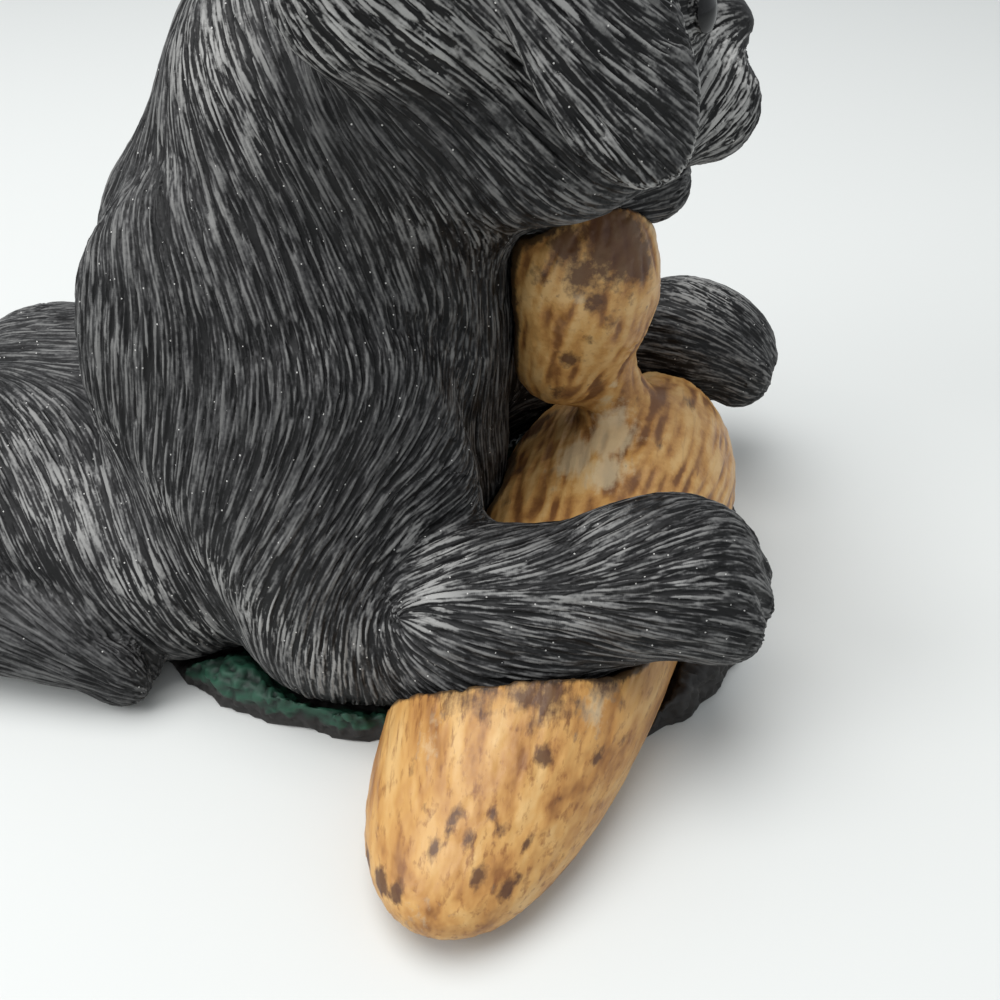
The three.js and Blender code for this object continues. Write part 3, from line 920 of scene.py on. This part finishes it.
def fine_hair(tree, where):
    """Noise smeared along the strands, so that it reads as hairs."""
    line = add(tree, "ShaderNodeAttribute", attribute_name="strand_line").outputs["Vector"]
    cell = HAIR_CELL * MM
    steps = np.arange(-HAIR_HALF, HAIR_HALF + 0.01, HAIR_CELL * (0.9))
    total = 0.0
    for step in steps:
        offset = (float(step) * MM,) * 3
        inputs = {0: line, 1: offset, 2: where}
        place = add(tree, "ShaderNodeVectorMath", inputs, operation="MULTIPLY_ADD")
        total = math_node(tree, "ADD", noise(tree, place.outputs[0], 0.7 / cell, 0.0), total)
    # spread out round a half
    gain = HAIR_CONTRAST / math.sqrt(len(steps))
    return spread(tree, total, gain, 0.5 - gain * len(steps) / 2)


def black_fur_paint():
    m, tree, shader = material("black_fur_paint", 0.5)
    shader.inputs["Specular IOR Level"].default_value = 0.28
    where = object_coordinates(tree)
    ridge = attribute(tree, "ridge")
    rub_and_painted_light = attribute(tree, "rub_and_painted_light")
    bare = attribute(tree, "bare")
    patchy = noise(tree, where, 260, 3, 0.6)
    fine = noise(tree, where, 2600, 2, 0.6)
    hair = fine_hair(tree, where)
    # grey catches the ridges, more of them where the brush went over twice and where highlights are
    # painted in, fewer in the painted shade
    high = spread(tree, hair, 0.75, spread(tree, ridge, 0.6, -0.17))
    high = math_node(tree, "ADD", high, spread(tree, patchy, 0.3, -0.15))
    high = math_node(tree, "ADD", high, spread(tree, fine, 0.3, -0.15))
    start = spread(tree, rub_and_painted_light, -0.55, 0.78)
    brush_and_highlight = math_node(tree, "DIVIDE", math_node(tree, "SUBTRACT", high, start), 0.55, clamp=True)
    strength = times(tree, brush_and_highlight, spread(tree, rub_and_painted_light, 0.8, 0.12), clamp=True)
    dull = spread(tree, high, 2.2, -0.6, clamp=True)
    colour = mix_colour(tree, dull, FUR_BLACK, FUR_DULL)
    colour = mix_colour(tree, strength, colour, FUR_GREY)
    # light dust caught in the fur
    cells = add(tree, "ShaderNodeTexVoronoi", {"Vector": where, "Scale": 950.0})
    speck = math_node(tree, "LESS_THAN", cells.outputs["Distance"], 0.13)
    chosen = add(tree, "ShaderNodeSeparateColor", {"Color": cells.outputs["Color"]}).outputs[0]
    speck = times(tree, speck, math_node(tree, "GREATER_THAN", chosen, 0.84))
    speck = times(tree, speck, math_node(tree, "SUBTRACT", 1.0, bare))
    colour = mix_colour(tree, speck, colour, FUR_DUST)
    colour = mix_colour(tree, bare, colour, BARE_BLACK)
    tree.links.new(colour, shader.inputs["Base Color"])
    eye = attribute(tree, "eye")
    gloss = spread(tree, fine, 0.2, 0.45)
    gloss = times(tree, gloss, spread(tree, eye, -0.85, 1.0))
    tree.links.new(gloss, shader.inputs["Roughness"])
    return m


# Stains on the decoy, with painted shade among the dark marks and painted highlights among the pale
# ones, read off the picture: across and down, half length along the grain and half width in millimetres,
# and strength.
BURN_AND_SHADE_MARKS = {
    "tail half": [
        (544, 757, 1.4, 1.1, 0.9), (599, 757, 2.0, 0.5, 0.9), (625, 740, 1.4, 0.5, 0.6),
        (423, 809, 2.6, 0.4, 0.6), (455, 815, 1.6, 0.9, 0.75), (494, 815, 1.3, 0.7, 0.6),
        (434, 850, 2.2, 0.8, 0.8), (468, 840, 1.8, 0.8, 0.65), (502, 832, 2.4, 0.7, 0.6),
        (528, 845, 3.2, 0.5, 0.7), (479, 877, 2.2, 0.8, 0.95), (507, 890, 2.4, 0.8, 0.95),
        (519, 879, 2.0, 0.6, 0.8), (367, 858, 2.6, 0.9, 0.9), (380, 882, 2.8, 1.3, 0.95),
        (395, 893, 2.4, 1.0, 0.95), (450, 832, 1.2, 0.5, 0.6), (560, 800, 2.6, 0.5, 0.5),
        (412, 770, 2.2, 0.5, 0.45),
    ],
    "under the foreleg": [
        (470, 700, 3.0, 6.0, 0.5), (540, 692, 3.5, 6.0, 0.65), (600, 682, 3.0, 5.0, 0.5),
        (535, 722, 2.6, 2.0, 0.4),
    ],
    "head and neck": [
        (622, 238, 5.0, 6.0, 1.0), (640, 262, 3.0, 3.2, 1.0), (565, 245, 3.0, 3.0, 0.8),
        (597, 303, 1.9, 1.7, 0.8), (583, 275, 3.2, 3.0, 0.7), (567, 360, 1.9, 1.6, 0.65),
        (540, 275, 3.0, 2.0, 0.5), (612, 322, 1.5, 1.5, 0.5), (560, 395, 2.0, 1.6, 0.6),
        (590, 340, 1.5, 1.2, 0.45), (515, 300, 3.0, 1.2, 0.5), (600, 385, 1.6, 1.2, 0.4),
    ],
    "back": [
        (535, 425, 4.0, 3.5, 0.9), (515, 470, 1.4, 1.2, 0.7), (505, 500, 1.6, 1.2, 0.6),
        (550, 470, 1.4, 0.9, 0.45), (640, 400, 1.5, 1.0, 0.4), (660, 440, 1.6, 1.0, 0.35),
        (700, 470, 1.8, 0.8, 0.35), (690, 400, 3.0, 1.2, 0.6),
    ],
}
# Pale paint, and painted highlights on the back and the tail half.
PALE_AND_HIGHLIGHT_MARKS = {
    "back": [(610, 436, 4.4, 3.6, 1.0), (575, 455, 4.0, 3.4, 0.9), (605, 470, 3.5, 3.0, 0.8)],
    "neck": [(615, 385, 2.0, 0.8, 0.6), (607, 400, 2.0, 0.8, 0.6)],
    "head": [(580, 300, 1.8, 1.0, 0.5)],
    "tail half": [(600, 700, 5.0, 2.5, 0.5), (430, 735, 5.0, 2.0, 0.35), (420, 915, 3.0, 3.0, 0.3)],
}
CHEST_SIDE_MARK = ([522], [250])
CHEST_SIDE_RISE = 0.7
CHEST_SIDE_RADIUS = 6
STAIN_AND_LIGHT_SPREAD = 1.7


def stain_and_painted_light(p, groups):
    """How strongly the marks colour each point of the decoy."""
    rows = np.array(listed(groups), float)
    place, _ = seen(rows[:, 0], rows[:, 1], DECOY)
    total = np.zeros(len(p))
    for middle, row in zip(place, rows):
        q = (p - middle) @ GRAIN
        gap = (q[:, 0] / row[2]) ** 2 + (q[:, 1:] ** 2).sum(-1) / row[3] ** 2
        total = np.maximum(total, row[4] * np.exp(-gap / STAIN_AND_LIGHT_SPREAD))
    return total


DECOY_STREAK_SEED = 21
DECOY_LUMP_SEED = 22
DECOY_CUT_SEED = 24
STREAK_CELL = 0.8
STREAK_HALF = 7.0
DECOY_LUMP_CELL = 4.0
CUT_CELL = 1.25
CUT_HALF = 4.5
STREAK_DEPTH = 0.05
CUT_DEPTH = 0.22


def decoy_skin():
    o = skin_of("duck_decoy", DECOY_VOXEL)
    draw_on(o, DECOY, "duck_decoy")
    o = smoothed(o, 1)
    p = points(o)
    n = normals(o)
    along = np.tile(GRAIN[:, 0], (len(p), 1))
    streak = strands(p, along, STREAK_CELL, STREAK_HALF, DECOY_STREAK_SEED)
    lumps = grain_noise(p, DECOY_LUMP_CELL, lattice_of(DECOY_LUMP_SEED)) - 0.5
    # the tail half is smooth, the back and the head are whittled
    whittled = smooth_step(p[:, 1], -38, -18)
    free = smooth_step(p[:, 2], 0.4, 2.0)
    upright = smooth_step(p[:, 2], 34, 44)[:, None]
    stroke = unit(GRAIN[:, 0] * (1 - upright) + np.array([0.25, 0, 1]) * upright)
    stroke = unit(stroke - n * (stroke * n).sum(-1, keepdims=True))
    cuts = strands(p, stroke, CUT_CELL, CUT_HALF, DECOY_CUT_SEED)
    sunk = STREAK_DEPTH * (1.6 - streak) + (0.1 + 0.3 * whittled) * (0.5 - lumps)
    sunk += CUT_DEPTH * whittled * smooth_step(cuts, 0.6, -1.4)
    # the head meets the chest
    meeting, _ = seen(*CHEST_SIDE_MARK, DECOY)
    sunk = np.maximum(sunk, 0) - CHEST_SIDE_RISE * blob(p, meeting[0], CHEST_SIDE_RADIUS)
    set_points(o, p - n * (sunk * free)[:, None], "duck_decoy")
    put(o, "whittled", whittled)
    put(o, "cuts", 0.5 + 0.25 * cuts)
    put(o, "burn_and_shade", stain_and_painted_light(p, BURN_AND_SHADE_MARKS))
    put(o, "pale_and_highlight", stain_and_painted_light(p, PALE_AND_HIGHLIGHT_MARKS))
    # painted shade on the decoy where it lies close against the puppy
    put(o, "near_fur", smooth_step(melt(p, PUPPY), 2.6, 0.3))
    return thinned(o, DECOY_FACES)


# colours along the grain, from the darkest
WOOD_STOPS = [
    (0.30, (0.25, 0.105, 0.030)),
    (0.43, (0.44, 0.215, 0.062)),
    (0.56, (0.56, 0.31, 0.10)),
    (0.70, (0.64, 0.40, 0.16)),
]
WOOD_STREAK = (0.19, 0.065, 0.018, 1)
WOOD_HOLLOW = (0.15, 0.06, 0.02, 1)
WOOD_PALE_AND_HIGHLIGHT = (0.68, 0.56, 0.36, 1)
WOOD_BURNT_AND_SHADE = (0.075, 0.030, 0.016, 1)
WOOD_BY_FUR = (0.022, 0.014, 0.009, 1)


def worn_wood_paint():
    m, tree, shader = material("worn_wood_paint", 0.42)
    shader.inputs["Specular IOR Level"].default_value = 0.4
    where = object_coordinates(tree)
    turn = math.atan2(DECOY_AXIS[0], DECOY_AXIS[1])
    along = add(
        tree, "ShaderNodeMapping",
        {"Vector": where, "Rotation": (0, 0, turn), "Scale": (1.0, 0.1, 1.0)},
    ).outputs[0]
    streak = noise(tree, along, 950, 4, 0.6)
    wide = noise(tree, along, 230, 3, 0.6)
    blotch = noise(tree, where, 330, 4, 0.65)
    fine = noise(tree, where, 1800, 2, 0.6)
    whittled = attribute(tree, "whittled")
    cuts = attribute(tree, "cuts")
    # lengthwise grain on the tail half, strokes of the knife on the carved part
    grain = mix_value(tree, whittled, wide, mix_value(tree, 0.4, blotch, cuts))
    base = ramp(tree, grain, WOOD_STOPS)
    dark = spread(tree, streak, 6.0, -3.2, clamp=True)
    dark = times(tree, dark, spread(tree, whittled, -0.45, 0.7))
    base = mix_colour(tree, dark, base, WOOD_STREAK)
    hollow = spread(tree, cuts, -2.6, 1.0, clamp=True)
    hollow = times(tree, hollow, times(tree, whittled, 0.7))
    base = mix_colour(tree, hollow, base, WOOD_HOLLOW)
    ragged = spread(tree, mix_value(tree, 0.5, streak, blotch), 1.6, -0.8)
    # pale paint and painted highlights
    pale_and_highlight = stain_and_light_strength(tree, "pale_and_highlight", ragged)
    base = mix_colour(tree, times(tree, pale_and_highlight, 0.65), base, WOOD_PALE_AND_HIGHLIGHT)
    # dark burn marks, and painted shade under the foreleg and below the head
    burn_and_shade = stain_and_light_strength(tree, "burn_and_shade", ragged)
    base = mix_colour(tree, times(tree, burn_and_shade, 0.88), base, WOOD_BURNT_AND_SHADE)
    # painted shade close to the puppy
    near = stain_and_light_strength(tree, "near_fur", ragged)
    base = mix_colour(tree, times(tree, near, 0.85), base, WOOD_BY_FUR)
    tree.links.new(base, shader.inputs["Base Color"])
    gloss = spread(tree, fine, 0.25, 0.3)
    tree.links.new(gloss, shader.inputs["Roughness"])
    bump = add(tree, "ShaderNodeBump", {"Height": streak, "Strength": 0.4, "Distance": 0.0002})
    tree.links.new(bump.outputs[0], shader.inputs["Normal"])
    return m


TUFT_CELLS = (0.9, 1.9)
TUFT_SEEDS = (31, 32)
TUFT_DEPTH = 0.3


def ground_skin():
    o = skin_of("mossy_ground", GROUND_VOXEL)
    o = smoothed(o, 1)
    p = points(o)
    n = normals(o)
    small, large = (grain_noise(p, cell, lattice_of(seed)) for cell, seed in zip(TUFT_CELLS, TUFT_SEEDS))
    tufts = small + 0.6 * large
    tufts = (tufts - tufts.mean()) / tufts.std()
    free = smooth_step(p[:, 2], 0.2, 1.4)
    sunk = np.clip(0.45 - TUFT_DEPTH * tufts, 0, 1.1) * free
    set_points(o, p - n * sunk[:, None], "mossy_ground")
    put(o, "tuft", tufts)
    # black beside the tail half of the decoy and round the low edge
    beside = smooth_step(p[:, 0], 38, 46)
    put(o, "rim_dark", np.maximum(beside, smooth_step(p[:, 2], 4.5, 2.0)))
    return thinned(o, GROUND_FACES)


MOSS_DEEP = (0.004, 0.016, 0.010, 1)
MOSS_GREEN = (0.012, 0.075, 0.042, 1)
MOSS_EDGE = (0.014, 0.012, 0.011, 1)


def moss_paint():
    m, tree, shader = material("moss_paint", 0.6)
    where = object_coordinates(tree)
    tuft = attribute(tree, "tuft")
    cloud = noise(tree, where, 180, 3, 0.6)
    high = spread(tree, tuft, 0.3, 0.4, clamp=True)
    colour = mix_colour(tree, high, MOSS_DEEP, MOSS_GREEN)
    edge = math_node(tree, "ADD", attribute(tree, "rim_dark"), spread(tree, cloud, 1.4, -0.7))
    edge = spread(tree, edge, 2.0, -0.5, clamp=True)
    colour = mix_colour(tree, edge, colour, MOSS_EDGE)
    tree.links.new(colour, shader.inputs["Base Color"])
    return m


# The figurine
PICTURE_MARGIN = 30                        # pixels beyond the left and the top edge

# Where the puppy is parted, in millimetres in the row frame
NEAR_SIDE = 12
HEAD_ABOVE = 78
HEAD_AHEAD = 6
NECK_ABOVE = 62
LEG_AHEAD = 8
FLANK_BEHIND = -24


def near_picture(p, out):
    """True where the skin faces the picture's camera and isn't cropped at the left or the top."""
    sight = p - CAMERA_PLACE
    ahead = sight @ PICTURE_VIEW
    across = PICTURE / 2 + FOCAL_PIXELS * (sight @ PICTURE_RIGHT) / ahead
    down = PICTURE / 2 - FOCAL_PIXELS * (sight @ PICTURE_UP) / ahead
    framed = (across > -PICTURE_MARGIN) & (down > -PICTURE_MARGIN)
    return framed & ((out * sight).sum(-1) < 0)


def puppy_pieces():
    o = skin_of("puppy", PUPPY_VOXEL)
    draw_on(o, PUPPY, "puppy")
    p = points(o)
    faces = quads(o)
    centre = p[faces].mean(axis=1)
    near = near_picture(centre, normals(o)[faces].mean(axis=1)) & (centre[:, 1] < NEAR_SIDE)
    bpy.data.objects.remove(o, do_unlink=True)
    ahead, _, up = centre.T
    head = (up > HEAD_ABOVE) & (ahead > HEAD_AHEAD)
    neck = (up > NECK_ABOVE) & ~head
    leg = (ahead > LEG_AHEAD) & ~head & ~neck
    flank = (ahead < FLANK_BEHIND) & (up < NECK_ABOVE)
    shoulder = ~head & ~neck & ~leg & ~flank
    parts = {
        "puppy_head_near": near & head,
        "puppy_neck_near": near & neck,
        "puppy_shoulder_near": near & shoulder,
        "puppy_foreleg_near": near & leg,
        "puppy_flank_near": near & flank,
        "puppy_head_far": ~near & (up > HEAD_ABOVE),
        "puppy_body_far": ~near & (up <= HEAD_ABOVE),
    }
    for name, chosen in parts.items():
        finest = (NEAR_LEVELS, NEAR_FACES) if name.endswith("near") else (FAR_LEVELS, FAR_FACES)
        yield dressed(part_of(p, faces, chosen, name), *finest)


def finished(o, name, node, paint):
    o.name = name
    set_points(o, points(o), node)
    o.data.shade_smooth()
    o.data.materials.clear()
    o.data.materials.append(paint)
    print(name, len(o.data.polygons), "triangles")
    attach(o, "root")
    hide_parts(node)


fur = black_fur_paint()
for piece in puppy_pieces():
    finished(piece, piece.name, "puppy", fur)
finished(decoy_skin(), "duck_decoy_surface", "duck_decoy", worn_wood_paint())
finished(ground_skin(), "mossy_ground_surface", "mossy_ground", moss_paint())

# Floor, light and camera
FLOOR_HALF = 3
FLOOR_PALE = (0.66, 0.67, 0.655, 1)
SKY_COLOUR = (0.93, 0.97, 1.0, 1)
SKY_STRENGTH = 0.62
SENSOR_WIDTH = 36

floor_mesh = bpy.data.meshes.new("floor")
corners = [(-1, -1), (1, -1), (1, 1), (-1, 1)]
floor_mesh.from_pydata([(x * FLOOR_HALF, y * FLOOR_HALF, 0) for x, y in corners], [], [(0, 1, 2, 3)])
floor = mesh_object("floor", floor_mesh)
floor_paint, _, floor_shader = material("pale_floor", 0.55, FLOOR_PALE)
floor_shader.inputs["Specular IOR Level"].default_value = 0.3
floor_mesh.materials.append(floor_paint)


def area_light(name, place, aim, size, power):
    light = bpy.data.lights.new(name, "AREA")
    light.shape = "DISK"
    light.size = size
    light.energy = power
    o = bpy.data.objects.new(name, light)
    bpy.context.scene.collection.objects.link(o)
    o.location = place
    o.rotation_euler = (Vector(aim) - Vector(place)).to_track_quat("-Z", "Y").to_euler()


area_light("overhead_lamp", place=(-0.18, -0.05, 0.9), aim=(0, 0, 0.04), size=0.8, power=7.2)
area_light("window", place=(-0.7, -0.5, 0.6), aim=(0, 0, 0.05), size=0.5, power=3.0)

bpy.context.scene.view_settings.view_transform = "Standard"

world = bpy.data.worlds.new("studio")
world.use_nodes = True
world.node_tree.nodes["Background"].inputs["Color"].default_value = SKY_COLOUR
world.node_tree.nodes["Background"].inputs["Strength"].default_value = SKY_STRENGTH
bpy.context.scene.world = world

camera_data = bpy.data.cameras.new("camera")
camera_data.lens = SENSOR_WIDTH * FOCAL_PIXELS / PICTURE
camera_data.sensor_width = SENSOR_WIDTH
camera_data.clip_start = 0.01
camera = bpy.data.objects.new("camera", camera_data)
bpy.context.scene.collection.objects.link(camera)
camera.location = CAMERA_PLACE * MM
camera.rotation_euler = (math.pi / 2 - CAMERA_DOWN, 0, CAMERA_TURN)
bpy.context.scene.camera = camera
